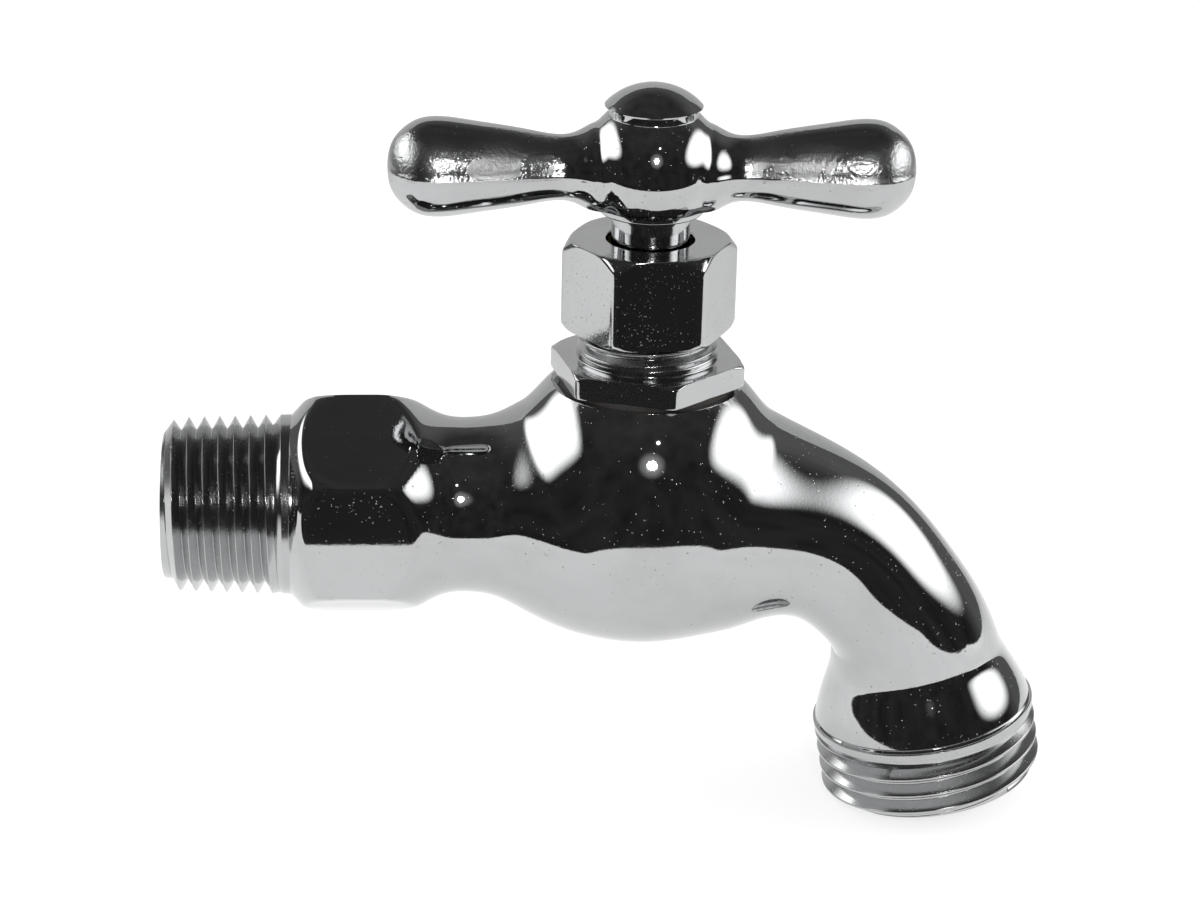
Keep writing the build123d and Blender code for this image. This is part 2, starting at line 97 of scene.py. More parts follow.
def ease(low: float, high: float, value: float) -> float:
    """A smooth rise from 0 at low to 1 at high."""
    share = min(max((value - low) / (high - low), 0.0), 1.0)
    return share * share * (3 - 2 * share)


def polygon_radius(apothem: float, sides: int, angle: float) -> float:
    """How far a regular polygon reaches in one direction.

    Args:
        apothem: distance from the centre to a side.
        sides: number of sides.
        angle: direction, counted from the middle of a side.

    Returns:
        The distance from the centre to the outline.
    """
    sector = 2 * math.pi / sides
    turned = (angle + sector / 2) % sector - sector / 2
    return apothem / math.cos(turned)


class SmoothLine:
    """A smooth curve of one number through given stops."""

    def __init__(self, stops: Sequence[tuple[float, float]], slopes: tuple[float | None, float | None] = (None, None)) -> None:
        """Fit the curve.

        Args:
            stops: (place, value) pairs in rising order of place.
            slopes: slope at each end, or None where the end is free.
        """
        self.place = np.array([stop[0] for stop in stops], float)
        self.value = np.array([stop[1] for stop in stops], float)
        count = len(stops)
        gap = np.diff(self.place)
        rate = np.diff(self.value) / gap
        system = np.eye(count)
        load = np.zeros(count)
        for i in range(1, count - 1):
            system[i, i - 1:i + 2] = gap[i - 1], 2 * (gap[i - 1] + gap[i]), gap[i]
            load[i] = 6 * (rate[i] - rate[i - 1])
        if slopes[0] is not None:
            system[0, :2] = 2 * gap[0], gap[0]
            load[0] = 6 * (rate[0] - slopes[0])
        if slopes[1] is not None:
            system[-1, -2:] = gap[-1], 2 * gap[-1]
            load[-1] = 6 * (slopes[1] - rate[-1])
        self.bend = np.linalg.solve(system, load)

    def __call__(self, place: float) -> float:
        """The value at a place, held at the end values outside the stops."""
        place = min(max(place, self.place[0]), self.place[-1])
        i = min(max(int(np.searchsorted(self.place, place)) - 1, 0), len(self.place) - 2)
        gap = self.place[i + 1] - self.place[i]
        a = (self.place[i + 1] - place) / gap
        b = 1 - a
        curl = ((a ** 3 - a) * self.bend[i] + (b ** 3 - b) * self.bend[i + 1]) * gap * gap / 6
        return float(a * self.value[i] + b * self.value[i + 1] + curl)


def rounded(points: Sequence[tuple[float, ...]], radius: float = 0.0, steps: int = 4) -> Outline:
    """Round the corners of an outline.

    Args:
        points: (radius, height) corners, each with an own corner size as a third number if it has one.
        radius: the corner size of the others.
        steps: straight pieces in each rounded corner.

    Returns:
        The outline with its corners rounded.
    """
    result: Outline = [tuple(points[0][:2])]
    for before, corner, after in zip(points, points[1:], points[2:]):
        size = corner[2] if len(corner) > 2 else radius
        here = Vector(corner[:2])
        back = Vector(before[:2]) - here
        ahead = Vector(after[:2]) - here
        reach = min(size, 0.45 * back.length, 0.45 * ahead.length)
        if reach < 0.005:
            result.append(tuple(here))
            continue
        start = here + back.normalized() * reach
        end = here + ahead.normalized() * reach
        for i in range(steps + 1):
            t = i / steps
            point = start * (1 - t) ** 2 + here * 2 * t * (1 - t) + end * t * t
            result.append(tuple(point))
    result.append(tuple(points[-1][:2]))
    return result


def divided(outline: Sequence[tuple[float, float]], longest: float) -> Outline:
    """Split the long stretches of an outline so that none is longer than the given length."""
    result: Outline = [outline[0]]
    for start, end in zip(outline, outline[1:]):
        length = math.dist(start, end)
        count = max(1, math.ceil(length / longest))
        for i in range(1, count + 1):
            share = i / count
            result.append((start[0] + (end[0] - start[0]) * share, start[1] + (end[1] - start[1]) * share))
    return result


# Mesh work, all in millimetres until a piece is placed


def add_spin(bm: bmesh.types.BMesh, outline: Outline, steps: int, centre: float = 0.0,
             turns: int = 1, pitch: float = 0.0) -> None:
    """Spin an outline about an upright axis, or screw it up along that axis.

    One sector is spun and then repeated all round, which is much quicker than one long spin.

    Args:
        bm: the mesh that grows.
        outline: (radius, height) points.
        steps: steps in one turn, a multiple of the number of sectors.
        centre: the axis's place along X.
        turns: number of turns.
        pitch: rise in one turn.
    """
    before = set(bm.verts)
    points = [bm.verts.new((centre + radius, 0, height)) for radius, height in outline]
    lines = [bm.edges.new(pair) for pair in zip(points, points[1:])]
    share = 2 * math.pi / SECTORS
    bmesh.ops.spin(
        bm, geom=points + lines, cent=(centre, 0, 0), axis=(0, 0, 1), dvec=(0, 0, pitch / steps),
        angle=share, steps=steps // SECTORS, use_merge=False, use_normal_flip=False, use_duplicate=False)
    fresh = [vert for vert in bm.verts if vert not in before]
    faces = {face for vert in fresh for face in vert.link_faces}
    edges = {edge for vert in fresh for edge in vert.link_edges}
    sector = [*fresh, *edges, *faces]
    for i in range(1, SECTORS * turns):
        copied = bmesh.ops.duplicate(bm, geom=sector)["geom"]
        moved = [item for item in copied if isinstance(item, bmesh.types.BMVert)]
        bmesh.ops.rotate(bm, verts=moved, cent=(centre, 0, 0), matrix=Matrix.Rotation(i * share, 3, "Z"))
        bmesh.ops.translate(bm, verts=moved, vec=(0, 0, pitch * i / SECTORS))
        fresh += moved
    bmesh.ops.remove_doubles(bm, verts=fresh, dist=JOIN_DISTANCE)


def reshape(bm: bmesh.types.BMesh, rule: RadiusRule) -> None:
    """Move every point in or out from the Z axis.

    Args:
        bm: the mesh.
        rule: gives the new radius from (radius, angle, height).
    """
    for vert in bm.verts:
        radius = math.hypot(vert.co.x, vert.co.y)
        if radius > JOIN_DISTANCE:
            scale = rule(radius, math.atan2(vert.co.y, vert.co.x), vert.co.z) / radius
            vert.co.x *= scale
            vert.co.y *= scale


def cut(bm: bmesh.types.BMesh, height: float, keep_below: bool, reach: float = math.inf) -> None:
    """Cut the mesh level at a height and drop one side.

    Args:
        bm: the mesh.
        height: where to cut.
        keep_below: keep what is below the cut, not what is above it.
        reach: how far along X, either way, the cut goes.
    """
    faces = [face for face in bm.faces if all(abs(vert.co.x) < reach for vert in face.verts)]
    edges = {edge for face in faces for edge in face.edges}
    points = {vert for face in faces for vert in face.verts}
    bmesh.ops.bisect_plane(
        bm, geom=[*points, *edges, *faces], dist=1e-5, plane_co=(0, 0, height),
        plane_no=(0, 0, 1), use_snap_center=False, clear_outer=keep_below, clear_inner=not keep_below)


def join_rims(bm: bmesh.types.BMesh, height: float) -> None:
    """Bridge the two open rims that lie at one height, with one held away from the other meanwhile."""
    rims = [
        edge for edge in bm.edges
        if edge.is_boundary and all(abs(vert.co.z - height) < 2 * JOIN_DISTANCE for vert in edge.verts)]
    open_edges = set(rims)
    held = {rims[0].verts[0]}
    ahead = list(held)
    while ahead:
        vert = ahead.pop()
        onward = {edge.other_vert(vert) for edge in vert.link_edges if edge in open_edges} - held
        held |= onward
        ahead += onward
    for vert in held:
        vert.co.z += RIM_LIFT
    bmesh.ops.bridge_loops(bm, edges=rims)
    for vert in held:
        vert.co.z -= RIM_LIFT


def screw_rod(crest: float, depth: float, pitch: float, start: float, end: float, groove: float,
              shape: RadiusRule, steps: int = 96, round_share: float = 0.09) -> bmesh.types.BMesh:
    """A threaded stretch about the Z axis, open at both ends.

    Args:
        crest: crest radius.
        depth: depth of the thread.
        pitch: pitch of the thread.
        start: height where the stretch starts.
        end: height where it ends.
        groove: height of a groove's middle at angle zero.
        shape: last change to the radius, from (radius, angle, height).
        steps: steps in one turn.
        round_share: rounding of crest and root, as a share of the pitch.

    Returns:
        The mesh.
    """
    root = crest - depth
    flank = min(depth * math.tan(THREAD_HALF_ANGLE), 0.46 * pitch)
    flat = 0.25 * (pitch - 2 * flank)
    tooth = rounded(
        ((root, 0.0), (root, flat), (crest, flat + flank), (crest, pitch - flat - flank),
         (root, pitch - flat), (root, pitch)), round_share * pitch, 3)
    turns = math.ceil((end - start) / pitch) + 3
    lowest = groove - math.ceil((groove - start) / pitch + 1) * pitch - pitch
    bm = bmesh.new()
    add_spin(bm, [(radius, height + lowest) for radius, height in tooth], steps, turns=turns + 1, pitch=pitch)
    reshape(bm, shape)
    cut(bm, start, keep_below=False)
    cut(bm, end, keep_below=True)
    return bm


@dataclass(frozen=True)
class Placing:
    """Where a piece's own axes lie in the frame of the part, in millimetres."""

    origin: tuple[float, float, float] = (0.0, 0.0, 0.0)
    across: tuple[float, float, float] = (1.0, 0.0, 0.0)
    along: tuple[float, float, float] = (0.0, 0.0, 1.0)

    def matrix(self) -> Matrix:
        """The transform from the piece's own millimetres to the frame's metres."""
        along = Vector(self.along).normalized()
        across = Vector(self.across).normalized()
        side = along.cross(across)
        turn = Matrix((across, side, along)).transposed().to_4x4()
        return Matrix.Scale(MM, 4) @ Matrix.Translation(self.origin) @ turn


def finish_piece(bm: bmesh.types.BMesh, name: str, body: Body, material: bpy.types.Material,
                 nodes: Sequence[str] = (), placing: Placing = Placing()) -> bpy.types.Object:
    """Turn a mesh into a piece that rides on a body.

    Args:
        bm: the mesh, which is used up.
        name: the piece's name.
        body: the body it rides on.
        material: its material.
        nodes: the CAD nodes it stands for.
        placing: where its own axes lie.

    Returns:
        The piece.
    """
    bmesh.ops.remove_doubles(bm, verts=bm.verts, dist=JOIN_DISTANCE)
    bmesh.ops.dissolve_degenerate(bm, edges=bm.edges, dist=1e-5)
    bmesh.ops.recalc_face_normals(bm, faces=bm.faces)
    if bm.calc_volume(signed=True) < 0:
        bmesh.ops.reverse_faces(bm, faces=bm.faces)
    for face in bm.faces:
        face.smooth = True
    for edge in bm.edges:
        edge.smooth = not edge.is_manifold or edge.calc_face_angle() < SHARP_ANGLE
    bmesh.ops.transform(bm, matrix=placing.matrix(), verts=bm.verts)
    mesh = bpy.data.meshes.new(name)
    bm.to_mesh(mesh)
    bm.free()
    mesh.materials.append(material)
    piece = bpy.data.objects.new(name, mesh)
    bpy.context.scene.collection.objects.link(piece)
    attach(piece, body.value)
    if nodes:
        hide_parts(*nodes)
    LOG.info("%s: %d faces", name, len(mesh.polygons))
    return piece


# Shader writing


class Signal:
    """A number that flows out of a shader socket and can be used in a Python expression."""

    def __init__(self, graph: "Graph", socket: bpy.types.NodeSocket) -> None:
        """Wrap a socket of a graph."""
        self.graph = graph
        self.socket = socket

    def _math(self, operation: str, first: "Signal | float", second: "Signal | float") -> "Signal":
        """One Math node on two values."""
        node = self.graph.node("ShaderNodeMath", {"operation": operation}, {0: first, 1: second})
        return Signal(self.graph, node.outputs[0])

    def __add__(self, other: "Signal | float") -> "Signal":
        """Sum."""
        return self._math("ADD", self, other)

    __radd__ = __add__

    def __sub__(self, other: "Signal | float") -> "Signal":
        """Difference."""
        return self._math("SUBTRACT", self, other)

    def __rsub__(self, other: "Signal | float") -> "Signal":
        """Difference with the value second."""
        return self._math("SUBTRACT", other, self)

    def __mul__(self, other: "Signal | float") -> "Signal":
        """Product."""
        return self._math("MULTIPLY", self, other)

    __rmul__ = __mul__

    def size(self) -> "Signal":
        """The value without its sign."""
        return self._math("ABSOLUTE", self, 0.0)

    def at_most(self, other: "Signal | float") -> "Signal":
        """The smaller value."""
        return self._math("MINIMUM", self, other)

    def at_least(self, other: "Signal | float") -> "Signal":
        """The larger value."""
        return self._math("MAXIMUM", self, other)


class Graph:
    """The node tree of one material or world."""

    def __init__(self, tree: bpy.types.NodeTree) -> None:
        """Start from an empty tree."""
        self.tree = tree
        tree.nodes.clear()

    def node(self, kind: str, settings: Mapping[str, object] | None = None,
             sockets: Mapping[str | int, object] | None = None) -> bpy.types.Node:
        """Add one node.

        Args:
            kind: the node's type.
            settings: its properties; "stops" sets a colour ramp's (place, grey) stops.
            sockets: a value, a Signal or a socket for each named or numbered input.

        Returns:
            The node.
        """
        node = self.tree.nodes.new(kind)
        for key, value in (settings or {}).items():
            if key == "stops":
                ramp = node.color_ramp
                while len(ramp.elements) < len(value):
                    ramp.elements.new(1.0)
                for element, (place, grey) in zip(ramp.elements, value):
                    element.position = place
                    element.color = (grey, grey, grey, 1)
            else:
                setattr(node, key, value)
        for key, value in (sockets or {}).items():
            if isinstance(value, Signal):
                value = value.socket
            if isinstance(value, bpy.types.NodeSocket):
                self.tree.links.new(value, node.inputs[key])
            else:
                node.inputs[key].default_value = value
        return node

    def signal(self, kind: str, output: str | int, settings: Mapping[str, object] | None = None,
               sockets: Mapping[str | int, object] | None = None) -> Signal:
        """Add one node and return one of its outputs as a value."""
        return Signal(self, self.node(kind, settings, sockets).outputs[output])

    def noise(self, place: bpy.types.NodeSocket, scale: float, detail: float = 2.0, roughness: float = 0.5) -> Signal:
        """Smooth noise from 0 to 1 over a place."""
        return self.signal(
            "ShaderNodeTexNoise", "Fac", None,
            {"Vector": place, "Scale": scale, "Detail": detail, "Roughness": roughness})

    def ramp(self, value: Signal, stops: Sequence[tuple[float, float]]) -> Signal:
        """Map a value through grey stops."""
        return self.signal("ShaderNodeValToRGB", "Color", {"stops": stops}, {"Fac": value})


def new_material(name: str) -> tuple[bpy.types.Material, Graph]:
    """A material with an empty graph."""
    material = bpy.data.materials.new(name)
    material.use_nodes = True
    return material, Graph(material.node_tree)


@dataclass(frozen=True)
class ChromeFinish:
    """Bright plating over a cast or turned surface.

    Waves, grain and pits are heights in millimetres. The flank is a band of rough skin left between two heights of
    a casting, from a distance outwards from the stem, in metres.
    """

    name: str
    waves: float = 0.010
    wave_scale: float = 130.0
    grain: float = 0.0016
    grain_scale: float = 3200.0
    scratches: float = 0.0010
    pits: float = 0.010
    speck_scale: float = 2600.0
    speck_start: float = 0.735
    roughness: float = 0.03
    haze: float = 0.04
    flank: tuple[float, float, float] | None = None
    flank_grain: float = 0.09

    def rough_skin(self, graph: Graph, place: bpy.types.NodeSocket) -> Signal:
        """Where the rough skin lies on the flank, from 0 to 1."""
        low, high, reach = self.flank
        part = graph.node("ShaderNodeSeparateXYZ", None, {"Vector": place}).outputs
        height = Signal(graph, part["Z"])
        across = Signal(graph, part["X"]) - STEM_X * MM
        middle, half = (low + high) / 2, (high - low) / 2
        band = graph.signal("ShaderNodeMapRange", "Result", {"interpolation_type": "SMOOTHSTEP"}, {
            "Value": (height - middle).size(), "From Min": half, "From Max": 0.4 * half, "To Min": 0.0,
            "To Max": 1.0})
        outside = graph.signal("ShaderNodeMapRange", "Result", {"interpolation_type": "SMOOTHSTEP"}, {
            "Value": across.size(), "From Min": reach, "From Max": reach + 0.003, "To Min": 0.0, "To Max": 1.0})
        patch = graph.ramp(graph.noise(place, 220.0, 2.0), ((0.0, 0.55), (0.30, 0.55), (0.70, 1.0)))
        return band * outside * patch

    def build(self) -> bpy.types.Material:
        """Make the material."""
        material, graph = new_material(self.name)
        place = graph.node("ShaderNodeTexCoord").outputs["Object"]
        drawn = graph.node("ShaderNodeMapping", None, {"Vector": place, "Scale": (1.0, 1.0, 0.04)}).outputs[0]
        waves = graph.noise(place, self.wave_scale, 1.0)
        grain = graph.noise(place, self.grain_scale, 2.0, 0.6)
        scratches = graph.noise(drawn, 2600.0, 2.0, 0.6)
        cluster = graph.noise(place, 130.0, 2.0)
        spots = graph.ramp(
            graph.noise(place, self.speck_scale, 1.0) + 0.14 * cluster,
            ((0.0, 0.0), (self.speck_start + 0.07, 0.0), (self.speck_start + 0.12, 1.0)))
        film = graph.ramp(graph.noise(place, 90.0, 4.0, 0.65), ((0.0, 0.0), (0.45, 0.1), (0.8, 1.0)))
        height = self.waves * waves + self.grain * grain + self.scratches * scratches - self.pits * spots
        roughness = self.roughness + self.haze * film + 0.35 * spots
        if self.flank:
            skin = self.rough_skin(graph, place)
            height = height + self.flank_grain * skin * (graph.noise(place, 2300.0, 2.0, 0.7) - 0.5)
            roughness = roughness + 0.30 * skin
        bump = graph.node(
            "ShaderNodeBump", None, {"Strength": 1.0, "Distance": MM, "Height": height}).outputs["Normal"]
        tone = graph.node(
            "ShaderNodeMix", {"data_type": "RGBA"},
            {0: film * 0.35 + spots * 0.2, 6: (0.50, 0.505, 0.51, 1), 7: (0.38, 0.38, 0.375, 1)}).outputs[2]
        surface = graph.node("ShaderNodeBsdfPrincipled", None, {
            "Base Color": tone, "Metallic": 1.0, "Roughness": roughness, "Normal": bump})
        graph.node("ShaderNodeOutputMaterial", None, {"Surface": surface.outputs[0]})
        return material


@dataclass(frozen=True)
class BrassFinish:
    """Bare machined brass with a dull tarnish."""

    name: str
    tarnish: float = 0.6

    def build(self) -> bpy.types.Material:
        """Make the material."""
        material, graph = new_material(self.name)
        place = graph.node("ShaderNodeTexCoord").outputs["Object"]
        lines = graph.signal(
            "ShaderNodeTexWave", "Fac", {"wave_type": "RINGS", "rings_direction": "Z"},
            {"Vector": place, "Scale": 900.0, "Distortion": 2.0, "Detail": 2.0})
        stain = graph.noise(place, 260.0, 4.0, 0.6)
        tone = graph.node(
            "ShaderNodeMix", {"data_type": "RGBA"},
            {0: stain * self.tarnish, 6: (0.72, 0.54, 0.25, 1), 7: (0.30, 0.21, 0.10, 1)}).outputs[2]
        bump = graph.node(
            "ShaderNodeBump", None,
            {"Strength": 0.5, "Distance": MM, "Height": 0.004 * lines + 0.01 * stain}).outputs["Normal"]
        surface = graph.node("ShaderNodeBsdfPrincipled", None, {
            "Base Color": tone, "Metallic": 1.0, "Roughness": 0.28 + 0.25 * stain, "Normal": bump})
        graph.node("ShaderNodeOutputMaterial", None, {"Surface": surface.outputs[0]})
        return material


@dataclass(frozen=True)
class SoftFinish:
    """Rubber, fibre or packing: matt, speckled and slightly rough."""

    name: str
    light: tuple[float, float, float, float]
    dark: tuple[float, float, float, float]
    roughness: float = 0.8

    def build(self) -> bpy.types.Material:
        """Make the material."""
        material, graph = new_material(self.name)
        place = graph.node("ShaderNodeTexCoord").outputs["Object"]
        fleck = graph.noise(place, 1800.0, 3.0, 0.7)
        cloud = graph.noise(place, 300.0, 3.0)
        tone = graph.node(
            "ShaderNodeMix", {"data_type": "RGBA"},
            {0: fleck * 0.6 + cloud * 0.4, 6: self.light, 7: self.dark}).outputs[2]
        bump = graph.node(
            "ShaderNodeBump", None, {"Strength": 0.6, "Distance": MM, "Height": 0.03 * fleck}).outputs["Normal"]
        surface = graph.node("ShaderNodeBsdfPrincipled", None, {
            "Base Color": tone, "Roughness": self.roughness - 0.15 * cloud, "Normal": bump})
        graph.node("ShaderNodeOutputMaterial", None, {"Surface": surface.outputs[0]})
        return material


# The body


@dataclass(frozen=True)
class BodyCasting:
    """The casting: barrel, globe, spout and bell in one, with its two threaded ends."""

    barrel_flats: float = 24.4
    edge_blend: float = 0.5
    flat_crown: float = 0.18
    pipe_radius: float = 10.66
    pipe_pitch: float = 25.4 / 14
    pipe_depth: float = 1.45
    pipe_length: float = 14.19
    pipe_taper: float = 1 / 32
    pipe_runout: float = 1.25
    collar_end: float = 0.8
    inlet_bore: float = 6.0
    globe_radius: float = 16.49
    globe_rise: float = 3.8
    globe_blend: float = 1.2
    boss_height: float = 15.85
    boss_lip: float = 0.3
    outlet_reach: float = 34.9
    outlet_drop: float = 25.9
    outlet_tilt: float = 10.0
    hose_radius: float = 13.485
    hose_pitch: float = 25.4 / 11.5
    hose_depth: float = 1.43
    hose_length: float = 9.79
    hose_runout: float = 2.2
    outlet_bore: float = 8.2
    steps: int = 144

    # (reach from the stem, height, droop in degrees, radius) along the spine
    SPINE = (
        (-38.95, 0.0, 0.0, 13.45), (-35.25, 0.0, 0.0, 14.08), (-32.8, 0.0, 0.0, 14.12),
        (-30.4, 0.0, 0.0, 13.98), (-27.07, 0.0, 0.0, 12.38), (-23.74, 0.0, 0.0, 10.70),
        (-20.8, 0.0, 0.0, 10.42), (-17.7, 0.0, 0.0, 10.93), (-14.14, 0.0, 0.0, 12.69),
        (-10.4, 0.0, 0.0, 14.50), (-7.07, 0.0, 0.0, 15.59), (-3.54, 0.0, 0.0, 16.26),
        (0.0, 0.0, 0.0, 16.49), (8.5, -0.5, 4.0, 15.1), (13.2, -1.85, 11.0, 13.25),
        (18.0, -2.9, 20.0, 11.5), (23.0, -4.9, 33.0, 10.25), (27.8, -8.9, 49.0, 9.55),
        (31.9, -14.25, 62.0, 9.5))
    # (distance before the bell's rim, radius)
    BELL = ((8.0, 10.2), (6.5, 10.55), (5.0, 11.15), (2.0, 12.45), (0.0, 13.1))
    # (distance before the bell's rim, how much wider than high the section is)
    WIDTH = (
        (72.0, 1.0), (56.0, 0.988), (42.0, 0.988), (32.0, 1.0), (22.0, 1.05), (14.5, 1.12), (11.0, 1.08),
        (8.0, 1.02), (6.0, 1.0))

    def outlet_axis(self) -> Placing:
        """The axis out of the spout, from the bell's rim."""
        tilt = math.radians(self.outlet_tilt)
        return Placing(
            (STEM_X + self.outlet_reach, 0, -self.outlet_drop), (math.cos(tilt), 0, math.sin(tilt)),
            (math.sin(tilt), 0, -math.cos(tilt)))

    def spine(self) -> tuple[list[SmoothLine], float, float]:
        """The curved centre line.

        Returns:
            The curves of reach, height, droop and radius along the spine, and the places of its start
            and of the bell's rim.
        """
        axis = self.outlet_axis()
        origin, along = Vector(axis.origin), Vector(axis.along)
        stations = [tuple(station) for station in self.SPINE]
        for before, radius in self.BELL:
            centre = origin - along * before
            stations.append((centre.x - STEM_X, centre.z, 90 - self.outlet_tilt, radius))
        place = [STEM_X + stations[0][0]]
        for one, two in zip(stations, stations[1:]):
            place.append(place[-1] + math.dist(one[:2], two[:2]))
        ends = ((1.0, math.cos(math.radians(90 - self.outlet_tilt))),
                (0.0, -math.sin(math.radians(90 - self.outlet_tilt))), (0.0, 0.0), (0.35, 0.25))
        lines = [
            SmoothLine([(at, station[i]) for at, station in zip(place, stations)], ends[i]) for i in range(4)]
        return lines, place[0], place[-1]

    def casting(self) -> bmesh.types.BMesh:
        """The whole casting between its two threads, with the well under the bonnet."""
        (reach, height, droop, radius), start, rim = self.spine()
        spout_mouth = rim + 0.5
        outline: Outline = [(0.0, 26.6)]
        outline += [(self.inlet_bore * math.sin(a), 20.6 + 6 * math.cos(a)) for a in np.linspace(0.2, math.pi / 2, 6)]
        outline += [(self.inlet_bore, 1.7), (self.pipe_radius, self.collar_end)]
        cone = [(self.pipe_radius + 0.1, self.collar_end + 0.1), (12.35, 2.3), (radius(start) - 0.12, start - 0.12)]
        outline += divided(rounded(cone, 0.8, 5), 0.3)
        count = math.ceil((rim - start) / 0.4)
        outline += [(radius(at), at) for at in np.linspace(start + 0.1, rim - 0.05, count)]
        outline += rounded((
            (radius(rim), rim), (radius(rim) - 0.2, rim + 0.25), (self.hose_radius - 0.3, spout_mouth),
            (self.outlet_bore, spout_mouth)), 0.1, 3)
        outline += [(self.outlet_bore, rim - 1.2), (6.4, rim - 1.25)]
        outline += [(6.4, at) for at in np.linspace(rim - 2.5, 60.0, 30)]
        outline += [(6.4 * math.sin(a), 60.0 - 6 * math.cos(a)) for a in np.linspace(math.pi / 2, 0.2, 6)]
        outline.append((0.0, 54.0))
        bm = bmesh.new()
        add_spin(bm, outline, self.steps)
        corner = math.radians(30)

        def flats(size: float, angle: float, place: float) -> float:
            """Take the six flats off the barrel."""
            if not start - 2.0 < place < STEM_X - 20.8 or size <= self.inlet_bore + 0.1:
                return size
            crown = self.flat_crown * (math.cos(3 * (angle - corner)) ** 2 - 0.4)
            return soft_min(size, polygon_radius(self.barrel_flats / 2, 6, angle - corner) + crown, self.edge_blend)

        reshape(bm, flats)
        width = SmoothLine([(rim - before, ratio) for before, ratio in self.WIDTH], (0.0, 0.0))
        outlet = self.outlet_axis()
        globe = Vector((STEM_X, 0, self.globe_rise))
        for vert in bm.verts:
            place = vert.co.z
            if place > rim:
                centre = Vector(outlet.origin) + Vector(outlet.along) * (place - rim)
                lean = math.radians(90 - self.outlet_tilt)
            elif place < start:
                centre, lean = Vector((place, 0, 0)), 0.0
            else:
                centre = Vector((STEM_X + reach(place), 0, height(place)))
                lean = math.radians(droop(place))
            up = Vector((math.sin(lean), 0, math.cos(lean)))
            onward = Vector((math.cos(lean), 0, -math.sin(lean)))
            size = math.hypot(vert.co.x, vert.co.y)
            grow = 1.0
            slice_squared = self.globe_radius ** 2 - (globe - centre).dot(onward) ** 2
            if size > 9.0 and slice_squared > 0:
                rise = (globe - centre).dot(up)
                inside = slice_squared - (rise * vert.co.y / size) ** 2
                if inside > 0:
                    ball = rise * vert.co.x / size + math.sqrt(inside)
                    grow = soft_max(size, ball, self.globe_blend) / size
            side = width(place) if size > 9.0 else 1.0
            vert.co = centre + up * vert.co.x * grow + Vector((0, -vert.co.y * grow * side, 0))
        cut(bm, self.boss_height, keep_below=True)
        add_spin(bm, rounded((
            (11.0, self.boss_height), (9.3, self.boss_height, 0.3), (9.25, 11.95), (8.6, 11.95), (8.6, -0.2),
            (6.3, -0.2), (6.3, 1.0), (4.7, 1.0), (4.7, -5.0), (0.0, -6.5)), 0.2, 3), 96, centre=STEM_X)
        join_rims(bm, self.boss_height)
        lip = [
            edge for edge in bm.edges
            if all(abs(vert.co.z - self.boss_height) < 2 * JOIN_DISTANCE
                   and math.hypot(vert.co.x - STEM_X, vert.co.y) > 11.05 for vert in edge.verts)
            and edge.is_manifold and edge.calc_face_angle() > SHARP_ANGLE]
        bmesh.ops.bevel(
            bm, geom=lip, offset=self.boss_lip, offset_type="OFFSET", segments=3, profile=0.5, affect="EDGES",
            material=-1, clamp_overlap=True)
        return bm

    def pipe_thread(self) -> bmesh.types.BMesh:
        """The tapered male thread with its collar and bore."""
        end = self.pipe_length

        def shape(size: float, angle: float, place: float) -> float:
            """Taper, run-out at the collar and chamfer at the end."""
            size -= place * self.pipe_taper
            crest = self.pipe_radius - place * self.pipe_taper
            floor = crest - self.pipe_depth * ease(0.1, self.pipe_runout + 0.6, place)
            return max(min(max(size, floor), crest - 1.3 * (place - end + 1.3)), 7.2)

        bm = screw_rod(
            self.pipe_radius, self.pipe_depth, self.pipe_pitch, 0.02, end, self.pipe_runout, shape, 120)
        add_spin(bm, rounded((
            (self.pipe_radius - 0.02, 0.02), (self.pipe_radius, -self.collar_end),
            (self.inlet_bore, -self.collar_end)), 0.0), 120)
        join_rims(bm, 0.02)
        add_spin(bm, rounded((
            (7.0, end), (self.inlet_bore, end, 0.3), (self.inlet_bore, -self.collar_end)), 0.3, 3), 120)
        join_rims(bm, end)
        return bm

    def hose_thread(self) -> bmesh.types.BMesh:
        """The male hose thread with its collar ring, relief, mouth and bore."""
        end = self.hose_length
        relief = 0.3

        def shape(size: float, angle: float, place: float) -> float:
            """Run-out near the bell and chamfer at the mouth."""
            floor = self.hose_radius - relief - (self.hose_depth - relief) * ease(2.0, self.hose_runout + 1.0, place)
            return min(max(size, floor), self.hose_radius - (place - end + 1.0))

        bm = screw_rod(
            self.hose_radius, self.hose_depth, self.hose_pitch, 2.0, end, self.hose_runout, shape, 120)
        ring = self.hose_radius
        add_spin(bm, rounded((
            (ring - relief, 2.0), (ring - relief, 1.42), (ring, 1.38, 0.06), (ring, 0.55, 0.1), (ring - 0.2, 0.5),
            (self.outlet_bore, 0.5)), 0.08, 3), 120)
        join_rims(bm, 2.0)
        add_spin(bm, rounded((
            (11.6, end), (self.outlet_bore, end, 0.4), (self.outlet_bore, 0.5)), 0.3, 4), 120)
        join_rims(bm, end)
        return bm

    def build(self, chrome: bpy.types.Material, thread_chrome: bpy.types.Material) -> None:
        """Make the three pieces of the body."""
        finish_piece(self.casting(), "body_casting", Body.CASTING, chrome, ("valve_body",))
        finish_piece(self.pipe_thread(), "body_pipe_thread", Body.CASTING, thread_chrome, (),
                     Placing((0, 0, 0), (0, 0, 1), (-1, 0, 0)))
        finish_piece(self.hose_thread(), "body_hose_thread", Body.CASTING, thread_chrome, (),
                     self.outlet_axis())


# Bonnet and stuffing box


